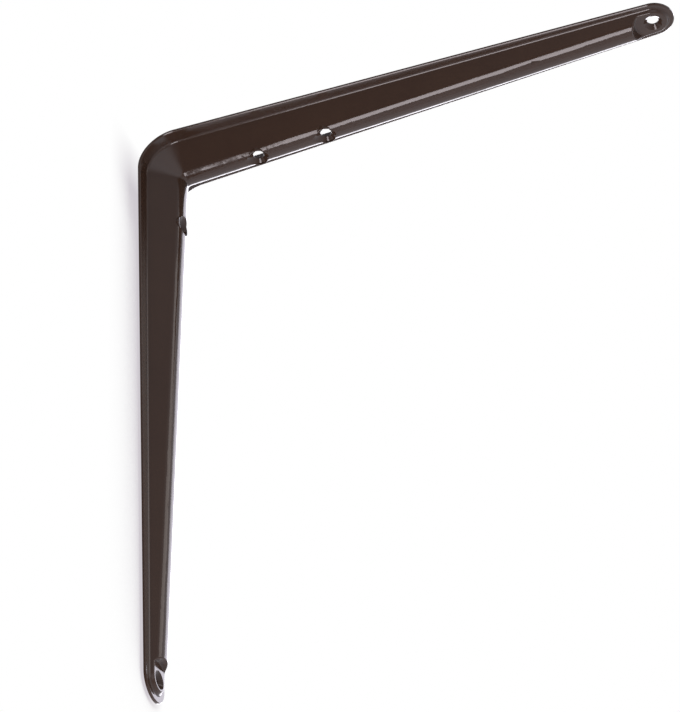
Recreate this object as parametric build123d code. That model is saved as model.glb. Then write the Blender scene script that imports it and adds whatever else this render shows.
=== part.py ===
from build123d import *
import math
import os

os.makedirs("parts", exist_ok=True)

# A shelf bracket pressed from one piece of sheet steel, in millimetres.
# X runs out from the wall along the shelf, Z is up, and Y = 0 is the plane of symmetry.
# The origin is the corner where the wall plane (X = 0) meets the underside of the shelf (Z = 0).
# Depth is the distance from the wall or shelf plane towards the side that shows.
# Each arm is drawn as a shelf arm, and the wall arm is then mirrored into its place.

# Overall size and sheet
SHELF_REACH = 250.0
WALL_DROP = 300.0
SHEET = 1.2

# The punched outline: its edge is broken on the side that shows and square against the wall
EDGE_BREAK = 0.35

# Both arms leave the bend with the same section and narrow towards their ends
BEND_RADIUS = 17.0
HALF_WIDTH_AT_BEND = 18.9
END_RADIUS = 9.5

# The rib: flared walls and a round crest, shallower towards the ends
RIB_DEPTH_AT_BEND = 16.0
RIB_FALL_PER_MM = 0.038
CREST_FLAT = 1.2
CREST_RADIUS = 5.2
WALL_FLARE = 0.6
CREASE_RADIUS = 1.3

# Screw holes, by their distance along each arm from the corner
HOLE_RADIUS = 2.5
HOLE_LAND = 0.6
SHELF_DIMPLES = (51.5, 84.5)
WALL_DIMPLES = (43.0,)

# The countersunk dimples in the crest: a cone of 90 degrees inside a raised lip
DIMPLE_RADIUS = 5.1
MOUTH_ROUND = 1.5
MOUTH_SLOPE = 0.18

# The lip, by its radii and by its depths under the top of the crest
LIP_RADIUS = 5.0
LIP_TOP_RADIUS = 4.65
LIP_INNER_RADIUS = 4.4
LIP_TOP = 0.8
LIP_SHOULDER = 1.3
LIP_FOOT = 2.6

# The low round seat pressed into the rib at each end, with a countersunk hole of its own
SEAT_RADIUS = 8.3
SEAT_DEPTH = 3.0
SEAT_WALL_LEAN = 0.25
SEAT_FLOOR_ROUND = 0.8
END_DISH_RADIUS = 4.2
SEAT_RIM_ROUND = 0.6

# Worked out from the sizes above
SHOULDER_ANGLE = math.pi / 2 - math.atan(WALL_FLARE)
CONE_BACK = SHEET * math.sqrt(2)
FAR = 40.0
TOUCH = 0.01


def depth_at(station):
    """Depth of the rib at a distance along an arm from the corner."""
    return RIB_DEPTH_AT_BEND - RIB_FALL_PER_MM * (station - BEND_RADIUS)


def across(station):
    """The plane across an arm: its x runs along Y and its y along Z."""
    return Plane(origin=(station, 0, 0), x_dir=(0, 1, 0), z_dir=(1, 0, 0))


def hat_points(depth, inset):
    """Half of the rib's line in section, as (y, depth), from the crease at the flange to the crest.

    An inset of 0 is the face that shows, and of the sheet's thickness the back of the same sheet.
    The six points are the start, middle and end of the crease arc, then of the crest arc.
    """
    crest_radius = CREST_RADIUS - inset
    crease_radius = CREASE_RADIUS + inset
    half_flat = CREST_FLAT / 2
    crest_centre = depth - CREST_RADIUS
    crease_centre = SHEET + CREASE_RADIUS

    def on_crest(angle):
        return half_flat + crest_radius * math.sin(angle), crest_centre + crest_radius * math.cos(angle)

    shoulder_y, shoulder_depth = on_crest(SHOULDER_ANGLE)
    foot_depth = crease_centre - crease_radius * math.cos(SHOULDER_ANGLE)
    foot_y = shoulder_y + WALL_FLARE * (shoulder_depth - foot_depth)
    centre_y = foot_y + crease_radius * math.sin(SHOULDER_ANGLE)

    def on_crease(angle):
        return centre_y - crease_radius * math.sin(angle), crease_centre - crease_radius * math.cos(angle)

    return [
        on_crease(0),
        on_crease(SHOULDER_ANGLE / 2),
        on_crease(SHOULDER_ANGLE),
        on_crest(SHOULDER_ANGLE),
        on_crest(SHOULDER_ANGLE / 2),
        on_crest(0),
    ]


def hat_line(depth, inset):
    """The rib's whole line in section, from one flange to the other."""
    left = [(-y, -d) for y, d in hat_points(depth, inset)]
    right = [(y, -d) for y, d in hat_points(depth, inset)]
    return [
        ThreePointArc(left[0], left[1], left[2]),
        Line(left[2], left[3]),
        ThreePointArc(left[3], left[4], left[5]),
        Line(left[5], right[5]),
        ThreePointArc(right[5], right[4], right[3]),
        Line(right[3], right[2]),
        ThreePointArc(right[2], right[1], right[0]),
    ]


def sheet_section(station, half_width):
    """The pressed sheet in section: two flanges and the rib between them, one thickness throughout."""
    depth = depth_at(station)
    crease_y = hat_points(depth, 0.0)[0][0]
    flat = half_width - EDGE_BREAK
    outline = hat_line(depth, 0.0) + hat_line(depth, SHEET)
    for side in (-1, 1):
        outline += [
            Line((side * crease_y, -SHEET), (side * flat, -SHEET)),
            Line((side * flat, -SHEET), (side * half_width, EDGE_BREAK - SHEET)),
            Line((side * half_width, EDGE_BREAK - SHEET), (side * half_width, 0)),
            Line((side * half_width, 0), (side * crease_y, 0)),
        ]
    return across(station) * make_face(outline)


def filled_section(station):
    """The rib in section without its hollow, down to the plane behind the sheet."""
    depth = depth_at(station)
    crease_y = hat_points(depth, 0.0)[0][0]
    corners = [(-crease_y, -SHEET), (-crease_y, 0), (crease_y, 0), (crease_y, -SHEET)]
    return across(station) * make_face(hat_line(depth, 0.0) + [Polyline(*corners)])


def arm_from(start, end, hole):
    """An arm between its two sections, closed by turning half of the end section about the end hole."""
    half_plane = across(hole) * Rectangle(FAR, FAR, align=(Align.MIN, Align.CENTER))
    nose = revolve(end & half_plane, Axis((hole, 0, 0), (0, 0, 1)), -180)
    return loft([start, end], ruled=True) + nose


def turned(station, outline):
    """A round body about a screw's axis, from (radius, depth) corners."""
    points = [(station + radius, 0, -depth) for radius, depth in outline]
    return revolve(make_face(Polyline(*points, close=True)), Axis((station, 0, 0), (0, 0, 1)), 360)


def screw_hole(station, floor):
    """The hole punched through the floor of a countersink: a short straight wall that opens out at the back."""
    return turned(
        station,
        [
            (0, floor + SHEET),
            (HOLE_RADIUS, floor + SHEET),
            (HOLE_RADIUS, floor - HOLE_LAND),
            (HOLE_RADIUS + SHEET, floor - HOLE_LAND - SHEET),
            (0, floor - HOLE_LAND - SHEET),
        ],
    )


def press_dimple(arm, filled, station):
    """Press a countersunk dimple into the crest, with its lip standing a little proud of the round crest."""
    crest = depth_at(station)
    floor = crest - (DIMPLE_RADIUS - HOLE_RADIUS)
    pit_profile = make_face(
        Polyline(
            (station, 0, -floor),
            (station + HOLE_RADIUS, 0, -floor),
            (station + DIMPLE_RADIUS, 0, -crest),
            (station + DIMPLE_RADIUS + FAR, 0, -crest - MOUTH_SLOPE * FAR),
            (station, 0, -crest - MOUTH_SLOPE * FAR),
            close=True,
        )
    )
    mouth_corner = pit_profile.vertices().sort_by_distance((station + DIMPLE_RADIUS, 0, -crest))[0]
    pit = revolve(fillet(mouth_corner, MOUTH_ROUND), Axis((station, 0, 0), (0, 0, 1)), 360)
    back = turned(
        station,
        [
            (0, floor - CONE_BACK),
            (HOLE_RADIUS, floor - CONE_BACK),
            (HOLE_RADIUS + FAR, floor - CONE_BACK + FAR),
            (0, floor - CONE_BACK + FAR),
        ],
    )
    lip = turned(
        station,
        [
            (LIP_INNER_RADIUS, crest - LIP_FOOT),
            (LIP_RADIUS, crest - LIP_FOOT),
            (LIP_RADIUS, crest - LIP_SHOULDER),
            (LIP_TOP_RADIUS, crest - LIP_TOP),
            (LIP_INNER_RADIUS, crest - LIP_TOP),
        ],
    )
    return ((arm + lip - pit) + ((filled & back) - pit)) - screw_hole(station, floor)


def press_seat(arm, filled, station):
    """Press the low seat into the end of the rib, with its countersunk hole down on the back plane."""
    dish_floor = SEAT_DEPTH - (END_DISH_RADIUS - HOLE_RADIUS)
    pit_profile = make_face(
        Polyline(
            (station, 0, -dish_floor),
            (station + HOLE_RADIUS, 0, -dish_floor),
            (station + END_DISH_RADIUS, 0, -SEAT_DEPTH),
            (station + SEAT_RADIUS, 0, -SEAT_DEPTH),
            (station + SEAT_RADIUS + SEAT_WALL_LEAN * FAR, 0, -SEAT_DEPTH - FAR),
            (station, 0, -SEAT_DEPTH - FAR),
            close=True,
        )
    )
    floor_corner = pit_profile.vertices().sort_by_distance((station + SEAT_RADIUS, 0, -SEAT_DEPTH))[0]
    pit = revolve(fillet(floor_corner, SEAT_FLOOR_ROUND), Axis((station, 0, 0), (0, 0, 1)), 360)
    floor = SEAT_DEPTH - SHEET
    dish_back = END_DISH_RADIUS + SHEET * math.tan(math.pi / 8)
    wall_back = SEAT_RADIUS + SHEET * (math.sqrt(1 + SEAT_WALL_LEAN ** 2) - SEAT_WALL_LEAN)
    back = turned(
        station,
        [
            (0, 0),
            (dish_back - floor, 0),
            (dish_back, floor),
            (wall_back, floor),
            (wall_back + SEAT_WALL_LEAN * FAR, floor + FAR),
            (0, floor + FAR),
        ],
    )
    pressed = ((arm - pit) + ((filled & back) - pit)) - screw_hole(station, dish_floor)
    return fillet([edge for edge in pressed.edges() if is_seat_rim(edge, station)], SEAT_RIM_ROUND)


def is_seat_rim(edge, station):
    """True for an edge round the top of a seat or of the step up from it to the crest."""
    points = [edge.position_at(along) for along in (0.1, 0.5, 0.9)]
    radii = [math.hypot(point.X - station, point.Y) for point in points]
    rises = [-point.Z - SEAT_DEPTH for point in points]
    outside_dish = min(radii) > END_DISH_RADIUS + 1
    on_seat = max(abs(rise) for rise in rises) < TOUCH and max(radii) < SEAT_RADIUS - SEAT_FLOOR_ROUND
    on_step = all(abs(r - SEAT_RADIUS - SEAT_WALL_LEAN * h) < TOUCH for r, h in zip(radii, rises))
    return outside_dish and (on_seat or on_step)


def pressed_arm(reach, dimples):
    """One whole arm, from the bend to its round end."""
    hole = reach - END_RADIUS
    start = sheet_section(BEND_RADIUS, HALF_WIDTH_AT_BEND)
    arm = arm_from(start, sheet_section(hole, END_RADIUS), hole)
    filled = arm_from(filled_section(BEND_RADIUS), filled_section(hole), hole)
    for station in dimples:
        arm = press_dimple(arm, filled, station)
    return press_seat(arm, filled, hole)


def as_wall_arm(arm):
    """An arm drawn along the shelf, in the same place down the wall."""
    return mirror(arm, Plane(origin=(0, 0, 0), z_dir=(1, 0, 1)))


# The bend between the arms is the same section turned through the corner
bend_section = sheet_section(BEND_RADIUS, HALF_WIDTH_AT_BEND)
bend = revolve(bend_section, Axis((BEND_RADIUS, 0, -BEND_RADIUS), (0, -1, 0)), 90)
shelf_arm = pressed_arm(SHELF_REACH, SHELF_DIMPLES)
wall_arm = as_wall_arm(pressed_arm(WALL_DROP, WALL_DIMPLES))

bracket = shelf_arm + bend + wall_arm
bracket.label = "bracket"
export_step(bracket, "parts/bracket.step")
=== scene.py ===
import math

import bpy
import numpy as np
from mathutils import Matrix, Vector


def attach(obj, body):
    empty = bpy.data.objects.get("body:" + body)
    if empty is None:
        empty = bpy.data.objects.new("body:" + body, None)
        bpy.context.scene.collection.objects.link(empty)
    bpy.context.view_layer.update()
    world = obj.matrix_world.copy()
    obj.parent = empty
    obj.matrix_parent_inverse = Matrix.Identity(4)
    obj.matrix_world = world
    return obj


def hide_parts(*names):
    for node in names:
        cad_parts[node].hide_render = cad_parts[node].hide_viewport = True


# A pressed steel shelf bracket under dark brown gloss paint. Metres, +Z up, wall plane at X = 0.
# The sheet comes from the frame and is rounded here, because its facets are too coarse for gloss
# paint. Then come the white stage with its lamps, and the camera.

bl_info = {
    "name": "Pressed Shelf Bracket",
    "version": (1, 0, 0),
    "blender": (4, 5, 0),
    "location": "View3D > Sidebar > Bracket",
    "description": "Paints a pressed steel shelf bracket and sets it on a white studio stage",
    "category": "Object",
}

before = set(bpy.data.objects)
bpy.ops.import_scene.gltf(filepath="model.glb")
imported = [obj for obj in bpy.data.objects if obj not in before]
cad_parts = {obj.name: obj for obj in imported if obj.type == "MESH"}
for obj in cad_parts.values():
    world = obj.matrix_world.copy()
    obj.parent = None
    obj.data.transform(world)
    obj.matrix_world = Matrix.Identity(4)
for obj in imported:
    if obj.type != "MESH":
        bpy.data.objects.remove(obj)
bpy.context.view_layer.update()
SHEET_NODE = "bracket"
SHEET_BODY = "root"

MM = 0.001
IMAGE_WIDTH = 680
IMAGE_HEIGHT = 712
SENSOR_MM = 36.0
CAMERA_CLIP = (0.01, 50.0)

# Rounding of the sheet's facets: points this close, in metres, are one, and facets that meet at
# less than the angle are one surface. A handle that would leave its chord by more than the last
# value stands for a kink, and stays on the chord.
MERGE = 1e-7
SMOOTH_COS = math.cos(math.radians(1.5))
HANDLE_MAX = 0.00013
TINY = 1e-12  # the least length that a vector is divided by

# The weights of a cubic's start, two handles and end, a third of the way along it
AT_THIRD = np.array((8, 12, 6, 1)) / 27

# One facet split in nine. Its ten points: three corners, two on each side in turn, and the middle.
FACET_WEIGHTS = np.array((
    (3, 0, 0), (0, 3, 0), (0, 0, 3),
    (2, 1, 0), (1, 2, 0), (0, 2, 1), (0, 1, 2), (1, 0, 2), (2, 0, 1),
    (1, 1, 1))) / 3
FACET_SPLIT = np.array((
    (0, 3, 8), (3, 4, 9), (3, 9, 8),
    (8, 9, 7), (4, 1, 5), (4, 5, 9),
    (9, 5, 6), (9, 6, 7), (7, 6, 2)))

# The enamel's patterns and its skin
MOTTLE_NOISE = {"Detail": 3.0, "Roughness": 0.6}
GRIT_NOISE = {"Detail": 2.0, "Roughness": 0.5}
PEEL_NOISE = {"Detail": 1.5, "Roughness": 0.45}
PEEL_HEIGHT = 0.012 * MM
DUST_HEIGHT = 0.0015 * MM
GRIT_SHOWN = {"From Min": 0.35, "From Max": 0.75}
SMOOTHER = 0.03  # how far the roughness falls between the specks of dust
ROUGHER = 0.05  # and how far it rises on them
ENAMEL_IOR = 1.5

# The board behind the bracket lies just clear of its flanges, and its painted shadow fades by place
BOARD_SIDES = (0.36, 0.12)
BOARD_PLACE = (-0.0006, 0, -0.165)
FLOOR_SIDES = (3.0, 3.0)
SHADE_DISTANCE = 0.06
SHADE_SAMPLES = 24
SHADE_DEPTH = {"From Min": 0.87, "From Max": 0.99, "To Min": 1.0, "To Max": 0.0}
SHADE_FADES = (
    ("Y", {"From Min": 0.012, "From Max": -0.004, "To Min": 0.0, "To Max": 1.0}),
    ("Z", {"From Min": -0.004, "From Max": -0.034, "To Min": 0.0, "To Max": 1.0}),
    ("Y", {"From Min": -0.048, "From Max": -0.026, "To Min": 0.0, "To Max": 1.0}),
)

# The room's light by direction: dim in front and bright behind, with a wide window in front and a
# dark ceiling, so that the holes' far walls stay dark
ROOM_FRONT = {"From Min": -0.90, "From Max": -0.20, "To Min": 0.16, "To Max": 0.90}
ROOM_BEHIND = {"From Min": -0.20, "From Max": 0.80, "To Min": 0.0, "To Max": 0.40}
WINDOW = (0.35, -0.935, 0.05)
WINDOW_EDGE = {"From Min": 0.78, "From Max": 0.98, "To Min": 0.0}
DARK_CEILING = {"From Min": 0.72, "From Max": 0.88, "To Min": 1.0, "To Max": 0.12}

# Each lamp: name, point it faces, direction it stands in, direction of its long side,
# then distance, width and length, radiance and colour.
LAMPS = (
    ("key_panel", (0.17, 0, -0.01), (-0.125, -0.565, -0.815), (0, 0.82, -0.57),
     2.2, (0.66, 1.30), 7.0, "#fff6fa"),
    ("rim_panel", (0.10, 0, -0.01), (-0.258, 0.86, 0.44), (0, -0.46, 0.89),
     2.2, (1.8, 2.4), 3.2, "#faf8ff"),
    ("top_panel", (0.01, 0, -0.10), (0.85, -0.10, 0.45), (0, 0, 1),
     2.4, (1.2, 1.2), 1.3, "#fff4ec"),
    ("back_panel", (0.01, 0, -0.15), (0.30, 0.65, 0.70), (0, -0.73, 0.68),
     2.2, (1.6, 1.4), 2.4, "#f6f2ff"),
)


def srgb(code):
    """A colour written as sRGB hex, as the linear red, green and blue that shaders use."""
    parts = [int(code[i:i + 2], 16) / 255 for i in (1, 3, 5)]
    return tuple(c / 12.92 if c <= 0.04045 else ((c + 0.055) / 1.055) ** 2.4 for c in parts)


def rgba(colour):
    """A colour with the fourth value that a shader's colour socket takes."""
    return (*colour, 1.0)


class BracketPaint(bpy.types.PropertyGroup):
    """The dark brown enamel and what shows in it."""

    brown: bpy.props.FloatVectorProperty(
        name="Enamel", description="Colour of the enamel",
        subtype="COLOR", default=srgb("#3a2920"))
    brown_thin: bpy.props.FloatVectorProperty(
        name="Thin enamel", description="Warmer colour where the enamel lies thin",
        subtype="COLOR", default=srgb("#412f24"))
    roughness: bpy.props.FloatProperty(
        name="Roughness", description="Roughness of the enamel's skin",
        subtype="FACTOR", default=0.11, min=0.0, max=1.0)
    mottle: bpy.props.FloatProperty(
        name="Mottle", description="Size of the soft patches of thicker and thinner enamel",
        subtype="DISTANCE", default=14.0 * MM)
    peel: bpy.props.FloatProperty(
        name="Peel", description="Size of the orange peel ripples",
        subtype="DISTANCE", default=1.7 * MM)
    grit: bpy.props.FloatProperty(
        name="Grit", description="Spacing of the dust caught in the enamel",
        subtype="DISTANCE", default=0.55 * MM)


class BracketStage(bpy.types.PropertyGroup):
    """The camera, the white surroundings and the room's light."""

    azimuth: bpy.props.FloatProperty(
        name="Azimuth", description="Turn of the camera towards +X",
        subtype="ANGLE", default=math.radians(19.91))
    elevation: bpy.props.FloatProperty(
        name="Elevation", description="Height of the camera above the horizon",
        subtype="ANGLE", default=math.radians(-40.654))
    roll: bpy.props.FloatProperty(
        name="Roll", description="Roll of the camera",
        subtype="ANGLE", default=math.radians(-2.305))
    distance: bpy.props.FloatProperty(
        name="Distance", description="From the camera to the point it looks at",
        subtype="DISTANCE", default=1.5547)
    look_at: bpy.props.FloatVectorProperty(
        name="Look at", description="The point in the middle of the picture",
        subtype="TRANSLATION", default=(0.08693, 0.0, -0.14486))
    focal_px: bpy.props.FloatProperty(
        name="Focal length", description="Focal length in pixels of the picture",
        default=3631.1)
    white: bpy.props.FloatVectorProperty(
        name="White", description="Colour of the floor, the board and the backdrop",
        subtype="COLOR", default=srgb("#ffffff"))
    # Painted shadow: the board's emitted white turns towards this colour close by the bracket
    shadow: bpy.props.FloatVectorProperty(
        name="Shadow", description="Colour of the soft shadow on the board",
        subtype="COLOR", default=srgb("#cfcad0"))
    room: bpy.props.FloatVectorProperty(
        name="Room", description="Colour of the light from the room",
        subtype="COLOR", default=srgb("#d9dae2"))
    window: bpy.props.FloatProperty(
        name="Window", description="Extra light from the wide window that shows in the bend",
        default=1.1)
    floor_drop: bpy.props.FloatProperty(
        name="Floor", description="How far the floor lies under the bracket's corner",
        subtype="DISTANCE", default=2.6)


def settings():
    """The scene's own copy of both groups of settings."""
    return bpy.context.scene.bracket_paint, bpy.context.scene.bracket_stage


def node(tree, kind, inputs=None, **values):
    """Add one shader node; each input takes a value or another node's output."""
    made = tree.nodes.new(kind)
    for name, value in values.items():
        setattr(made, name, value)
    for name, value in (inputs or {}).items():
        if isinstance(value, bpy.types.NodeSocket):
            tree.links.new(value, made.inputs[name])
        else:
            made.inputs[name].default_value = value
    return made


def new_material(name):
    """An empty material and its node tree."""
    material = bpy.data.materials.new(name)
    material.use_nodes = True
    material.node_tree.nodes.clear()
    return material, material.node_tree


def brown_enamel(paint):
    """Dipped and stoved alkyd enamel on steel: deep brown, glossy, with the faint ripple of orange
    peel, slightly warmer where it ran thin, and a few specks of dust under the skin."""
    material, tree = new_material("brown_stoved_enamel")
    place = node(tree, "ShaderNodeTexCoord").outputs["Object"]

    # A texture's scale is one over the real size of its features.
    mottle = node(tree, "ShaderNodeTexNoise", {
        "Vector": place, "Scale": 1.0 / paint.mottle, **MOTTLE_NOISE})
    grit = node(tree, "ShaderNodeTexNoise", {
        "Vector": place, "Scale": 1.0 / paint.grit, **GRIT_NOISE})
    peel = node(tree, "ShaderNodeTexNoise", {
        "Vector": place, "Scale": 1.0 / paint.peel, **PEEL_NOISE})

    colour = node(tree, "ShaderNodeMix", {
        "Factor": mottle.outputs["Fac"],
        "A": rgba(paint.brown), "B": rgba(paint.brown_thin)}, data_type="RGBA")
    skin = node(tree, "ShaderNodeMapRange", {
        "Value": grit.outputs["Fac"], **GRIT_SHOWN,
        "To Min": paint.roughness - SMOOTHER, "To Max": paint.roughness + ROUGHER})
    ripple = node(tree, "ShaderNodeBump", {
        "Height": peel.outputs["Fac"], "Strength": 1.0, "Distance": PEEL_HEIGHT})
    dust = node(tree, "ShaderNodeBump", {
        "Height": grit.outputs["Fac"], "Strength": 1.0, "Distance": DUST_HEIGHT,
        "Normal": ripple.outputs["Normal"]})
    shader = node(tree, "ShaderNodeBsdfPrincipled", {
        "Base Color": colour.outputs["Result"], "Roughness": skin.outputs["Result"],
        "Normal": dust.outputs["Normal"], "IOR": ENAMEL_IOR})
    node(tree, "ShaderNodeOutputMaterial", {"Surface": shader.outputs["BSDF"]})
    return material


def white_board(stage):
    """Matt white board: plain white to the eye, with only a painted soft shadow close by the
    bracket, an emitted tone darkened by ambient occlusion and faded by place.
    """
    material, tree = new_material("matt_white_board")
    near = node(tree, "ShaderNodeAmbientOcclusion", {"Distance": SHADE_DISTANCE},
                samples=SHADE_SAMPLES)
    place = node(tree, "ShaderNodeTexCoord").outputs["Object"]
    axis = node(tree, "ShaderNodeSeparateXYZ", {"Vector": place})

    # Painted shadow: ambient occlusion, faded by place, darkens the board's emitted white towards
    # the shadow colour
    shade = node(tree, "ShaderNodeMapRange", {"Value": near.outputs["AO"], **SHADE_DEPTH})
    depth = shade.outputs["Result"]
    for along, limits in SHADE_FADES:
        fade = node(tree, "ShaderNodeMapRange", {"Value": axis.outputs[along], **limits})
        kept = node(tree, "ShaderNodeMath", {0: depth, 1: fade.outputs["Result"]},
                    operation="MULTIPLY")
        depth = kept.outputs["Value"]

    tone = node(tree, "ShaderNodeMix", {
        "Factor": depth, "A": rgba(stage.white), "B": rgba(stage.shadow)}, data_type="RGBA")
    shown = node(tree, "ShaderNodeEmission", {"Color": tone.outputs["Result"], "Strength": 1.0})
    clear = node(tree, "ShaderNodeBsdfTransparent")
    side = node(tree, "ShaderNodeNewGeometry")
    both = node(tree, "ShaderNodeMixShader", {
        "Fac": side.outputs["Backfacing"],
        1: shown.outputs["Emission"], 2: clear.outputs["BSDF"]})
    node(tree, "ShaderNodeOutputMaterial", {"Surface": both.outputs["Shader"]})
    return material


def white_floor(stage):
    """Seamless white paper: plain white to the eye, and it takes soft shadows."""
    material, tree = new_material("seamless_white_paper")
    shown = node(tree, "ShaderNodeEmission", {"Color": rgba(stage.white), "Strength": 1.0})
    matt = node(tree, "ShaderNodeBsdfDiffuse", {"Color": rgba(stage.white)})
    ray = node(tree, "ShaderNodeLightPath")
    both = node(tree, "ShaderNodeMixShader", {
        "Fac": ray.outputs["Is Camera Ray"],
        1: matt.outputs["BSDF"], 2: shown.outputs["Emission"]})
    node(tree, "ShaderNodeOutputMaterial", {"Surface": both.outputs["Shader"]})
    return material


def deselect_all():
    """Nothing stays selected, so an operator acts on what comes next alone."""
    for obj in bpy.context.selected_objects:
        obj.select_set(False)


def unit(rows):
    """Rows of vectors at length one."""
    return rows / np.maximum(np.linalg.norm(rows, axis=-1, keepdims=True), TINY)


def dot(one, two):
    """Dot product of each row with its partner, as a column."""
    return (one * two).sum(axis=-1, keepdims=True)


def read_facets(mesh):
    """A CAD node's triangles on merged points: the points, each triangle's corners, and the normal
    at each corner."""
    points = np.empty(len(mesh.vertices) * 3, dtype=np.float32)
    mesh.vertices.foreach_get("co", points)
    corners = np.empty(len(mesh.loops), dtype=np.int32)
    mesh.loops.foreach_get("vertex_index", corners)
    normals = np.empty(len(mesh.loops) * 3, dtype=np.float32)
    mesh.corner_normals.foreach_get("vector", normals)

    points = points.reshape(-1, 3).astype(float)
    grid = np.round(points / MERGE).astype(np.int64)
    _, first, merged = np.unique(grid, axis=0, return_index=True, return_inverse=True)
    corners = merged.reshape(-1)[corners].reshape(-1, 3)
    normals = unit(normals.astype(float).reshape(-1, 3, 3))
    kept = (corners != np.roll(corners, -1, axis=1)).all(axis=1)
    return points[first], corners[kept], normals[kept]


def bent_edges(points, corners, normals):
    """Each edge as a cubic, in four rows of points: its start, two handles and end. Then the number
    of the edge at each side of each triangle, and whether the side runs the edge's own way.

    A handle lies on the surface where the facets beside its edge are one surface, and otherwise
    along the crease between them.
    """
    ahead = np.roll(corners, -1, axis=1)
    forward = corners < ahead
    low, high = np.minimum(corners, ahead).reshape(-1), np.maximum(corners, ahead).reshape(-1)
    key = low * len(points) + high
    _, one_side, edge = np.unique(key, return_index=True, return_inverse=True)
    other_side = len(key) - 1 - np.unique(key[::-1], return_index=True)[1]

    here = normals.reshape(-1, 3)
    there = np.roll(normals, -1, axis=1).reshape(-1, 3)
    with_edge = forward.reshape(-1, 1)
    start, stop = points[low[one_side]], points[high[one_side]]
    cubic = [start, stop]
    for origin, along, side_normals in (
            (start, stop - start, np.where(with_edge, here, there)),
            (stop, start - stop, np.where(with_edge, there, here))):
        one, other = side_normals[one_side], side_normals[other_side]
        across = unit(one + other)
        on_surface = along - dot(along, across) * across
        crease = unit(np.cross(one, other))
        on_crease = dot(along, crease) * crease
        bent = np.where(dot(one, other) > SMOOTH_COS, on_surface, on_crease)
        slight = np.linalg.norm(bent - along, axis=1, keepdims=True) < 3 * HANDLE_MAX
        cubic.insert(-1, origin + np.where(slight, bent, along) / 3)
    return np.stack(cubic), edge.reshape(-1, 3), forward


def rounded_mesh(source, name):
    """The same sheet with each facet split in nine and bent to the surface that it stands for."""
    points, corners, normals = read_facets(source)
    cubic, edge, forward = bent_edges(points, corners, normals)
    _, near, far, _ = cubic
    third = np.tensordot(AT_THIRD, cubic, axes=1)
    two_thirds = np.tensordot(AT_THIRD[::-1], cubic, axes=1)
    # The middle of a facet's cubic patch is the mean of its six handles.
    middle = (near[edge] + far[edge]).sum(axis=1) / 6

    # Points in order: the corners, two for each edge, one for each facet's middle.
    spots = np.vstack((points, np.stack((third, two_thirds), axis=1).reshape(-1, 3), middle))
    first = len(points) + 2 * edge + np.where(forward, 0, 1)
    second = len(points) + 2 * edge + np.where(forward, 1, 0)
    last = len(spots) - len(middle) + np.arange(len(middle))
    sides = np.stack((first, second), axis=2).reshape(-1, 6)
    faces = np.column_stack((corners, sides, last))[:, FACET_SPLIT].reshape(-1, 3)
    blend = unit(np.einsum("gc,tcx->tgx", FACET_WEIGHTS, normals))
    face_normals = blend[:, FACET_SPLIT].reshape(-1, 3)

    mesh = bpy.data.meshes.new(name)
    mesh.from_pydata(spots.tolist(), [], faces.tolist())
    mesh.shade_smooth()
    mesh.normals_split_custom_set(face_normals.tolist())
    return mesh


class BRACKET_OT_sheet(bpy.types.Operator):
    """Round the pressed sheet and cover it with dark brown enamel"""

    bl_idname = "bracket.sheet"
    bl_label = "Build the Pressed Sheet"

    def execute(self, context):
        paint, _ = settings()
        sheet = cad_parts[SHEET_NODE]
        deselect_all()
        piece = bpy.data.objects.new("pressed_sheet", rounded_mesh(sheet.data, "pressed_sheet"))
        context.scene.collection.objects.link(piece)
        piece.data.materials.append(brown_enamel(paint))
        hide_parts(SHEET_NODE)
        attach(piece, SHEET_BODY)
        return {"FINISHED"}


def plane(name, sides, place, turn, material):
    """A flat stage piece with its place baked into its mesh."""
    deselect_all()
    bpy.ops.mesh.primitive_plane_add(size=1.0, location=place, rotation=turn)
    made = bpy.context.active_object
    made.scale = (*sides, 1.0)
    bpy.ops.object.transform_apply(location=True, rotation=True, scale=True)
    made.name = name
    made.data.materials.append(material)
    return made


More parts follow.
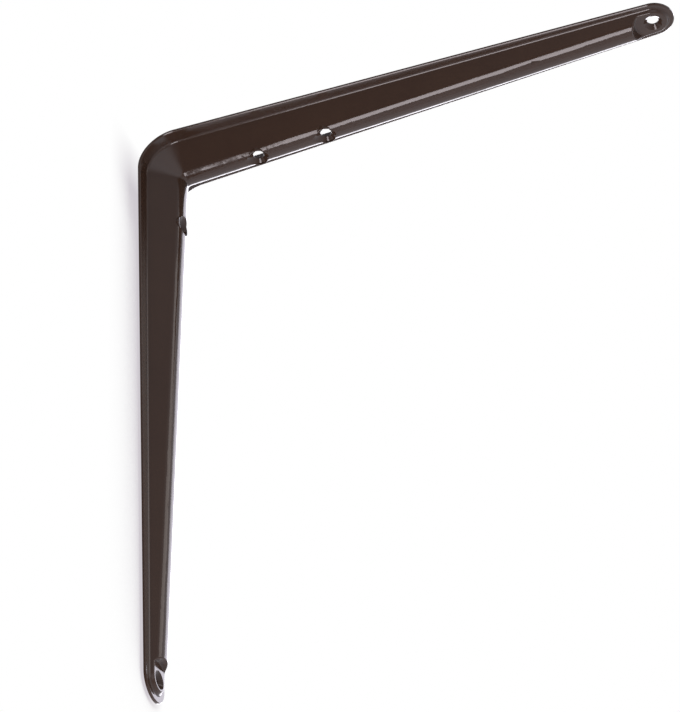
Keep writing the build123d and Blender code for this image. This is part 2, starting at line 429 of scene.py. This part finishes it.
class BRACKET_OT_stage(bpy.types.Operator):
    """Set up the white floor and board, the room's light and the lamps"""

    bl_idname = "bracket.stage"
    bl_label = "Build the Stage"

    def execute(self, context):
        _, stage = settings()
        plane("floor", FLOOR_SIDES, (0, 0, -stage.floor_drop), (0, 0, 0), white_floor(stage))
        board = plane("wall_board", BOARD_SIDES, BOARD_PLACE, (0, math.pi / 2, 0),
                      white_board(stage))
        # The board is there for the eye alone, so that it doesn't shade the bracket's open back.
        board.visible_diffuse = board.visible_glossy = board.visible_shadow = False
        self.light_room(context, stage)
        for row in LAMPS:
            self.hang_lamp(context, *row)
        return {"FINISHED"}

    def light_room(self, context, stage):
        """White to the eye, and a soft room to the bracket's paint."""
        world = bpy.data.worlds.new("white_room")
        world.use_nodes = True
        tree = world.node_tree
        tree.nodes.clear()
        towards = node(tree, "ShaderNodeTexCoord").outputs["Generated"]
        axis = node(tree, "ShaderNodeSeparateXYZ", {"Vector": towards})
        in_front = node(tree, "ShaderNodeMapRange", {"Value": axis.outputs["Y"], **ROOM_FRONT})
        behind = node(tree, "ShaderNodeMapRange", {"Value": axis.outputs["Y"], **ROOM_BEHIND})
        ceiling = node(tree, "ShaderNodeMapRange", {"Value": axis.outputs["Z"], **DARK_CEILING})
        window = node(tree, "ShaderNodeVectorMath", {
            0: towards, 1: Vector(WINDOW).normalized()}, operation="DOT_PRODUCT")
        glow = node(tree, "ShaderNodeMapRange", {
            "Value": window.outputs["Value"], **WINDOW_EDGE, "To Max": stage.window},
            interpolation_type="SMOOTHSTEP")

        level = in_front.outputs["Result"]
        for part, how in ((behind, "ADD"), (glow, "ADD"), (ceiling, "MULTIPLY")):
            joined = node(tree, "ShaderNodeMath", {0: level, 1: part.outputs["Result"]},
                          operation=how)
            level = joined.outputs["Value"]

        around = node(tree, "ShaderNodeBackground", {
            "Color": rgba(stage.room), "Strength": level})
        seen = node(tree, "ShaderNodeBackground", {"Color": rgba(stage.white), "Strength": 1.0})
        ray = node(tree, "ShaderNodeLightPath")
        both = node(tree, "ShaderNodeMixShader", {
            "Fac": ray.outputs["Is Camera Ray"],
            1: around.outputs["Background"], 2: seen.outputs["Background"]})
        node(tree, "ShaderNodeOutputWorld", {"Surface": both.outputs["Shader"]})
        context.scene.world = world

    def hang_lamp(self, context, name, aim, towards, upright, away, size, radiance, colour):
        """A soft panel that faces a point of the bracket from a given side and distance."""
        out = Vector(towards).normalized()
        across = Vector(upright).cross(out).normalized()
        light = bpy.data.lights.new(name, "AREA")
        light.shape = "RECTANGLE"
        light.size, light.size_y = size
        light.energy = radiance * math.pi * size[0] * size[1]
        light.color = srgb(colour)
        made = bpy.data.objects.new(name, light)
        turn = Matrix((across, out.cross(across), out)).transposed()
        made.matrix_world = Matrix.Translation(Vector(aim) + out * away) @ turn.to_4x4()
        made.visible_camera = False
        context.scene.collection.objects.link(made)


class BRACKET_OT_camera(bpy.types.Operator):
    """Place the camera at the viewing angle of the photograph"""

    bl_idname = "bracket.camera"
    bl_label = "Place the Camera"

    def execute(self, context):
        _, stage = settings()
        azimuth, elevation, roll = stage.azimuth, stage.elevation, stage.roll
        back = Vector((
            math.sin(azimuth) * math.cos(elevation),
            -math.cos(azimuth) * math.cos(elevation),
            math.sin(elevation)))
        right = Vector((math.cos(azimuth), math.sin(azimuth), 0.0))
        up = back.cross(right)
        rolled_right = math.cos(roll) * right + math.sin(roll) * up
        rolled_up = math.cos(roll) * up - math.sin(roll) * right
        place = Vector(stage.look_at) + back * stage.distance
        turn = Matrix((rolled_right, rolled_up, back)).transposed()

        data = bpy.data.cameras.new("camera")
        data.sensor_width = SENSOR_MM
        data.lens = stage.focal_px * SENSOR_MM / max(IMAGE_WIDTH, IMAGE_HEIGHT)
        data.clip_start, data.clip_end = CAMERA_CLIP
        camera = bpy.data.objects.new("camera", data)
        camera.matrix_world = Matrix.Translation(place) @ turn.to_4x4()
        context.scene.collection.objects.link(camera)
        context.scene.camera = camera
        context.scene.view_settings.view_transform = "Standard"
        return {"FINISHED"}


class BRACKET_PT_tools(bpy.types.Panel):
    """Lists the steps that finish the bracket"""

    bl_idname = "BRACKET_PT_tools"
    bl_label = "Shelf Bracket"
    bl_space_type = "VIEW_3D"
    bl_region_type = "UI"
    bl_category = "Bracket"

    def draw(self, context):
        for step in STEPS:
            self.layout.operator(step.bl_idname)


STEPS = (BRACKET_OT_sheet, BRACKET_OT_stage, BRACKET_OT_camera)
CLASSES = (BracketPaint, BracketStage, *STEPS, BRACKET_PT_tools)


def register():
    for item in CLASSES:
        bpy.utils.register_class(item)
    bpy.types.Scene.bracket_paint = bpy.props.PointerProperty(type=BracketPaint)
    bpy.types.Scene.bracket_stage = bpy.props.PointerProperty(type=BracketStage)


def unregister():
    del bpy.types.Scene.bracket_stage
    del bpy.types.Scene.bracket_paint
    for item in reversed(CLASSES):
        bpy.utils.unregister_class(item)


def main():
    register()
    bpy.ops.bracket.sheet()
    bpy.ops.bracket.stage()
    bpy.ops.bracket.camera()


if __name__ == "__main__":
    main()
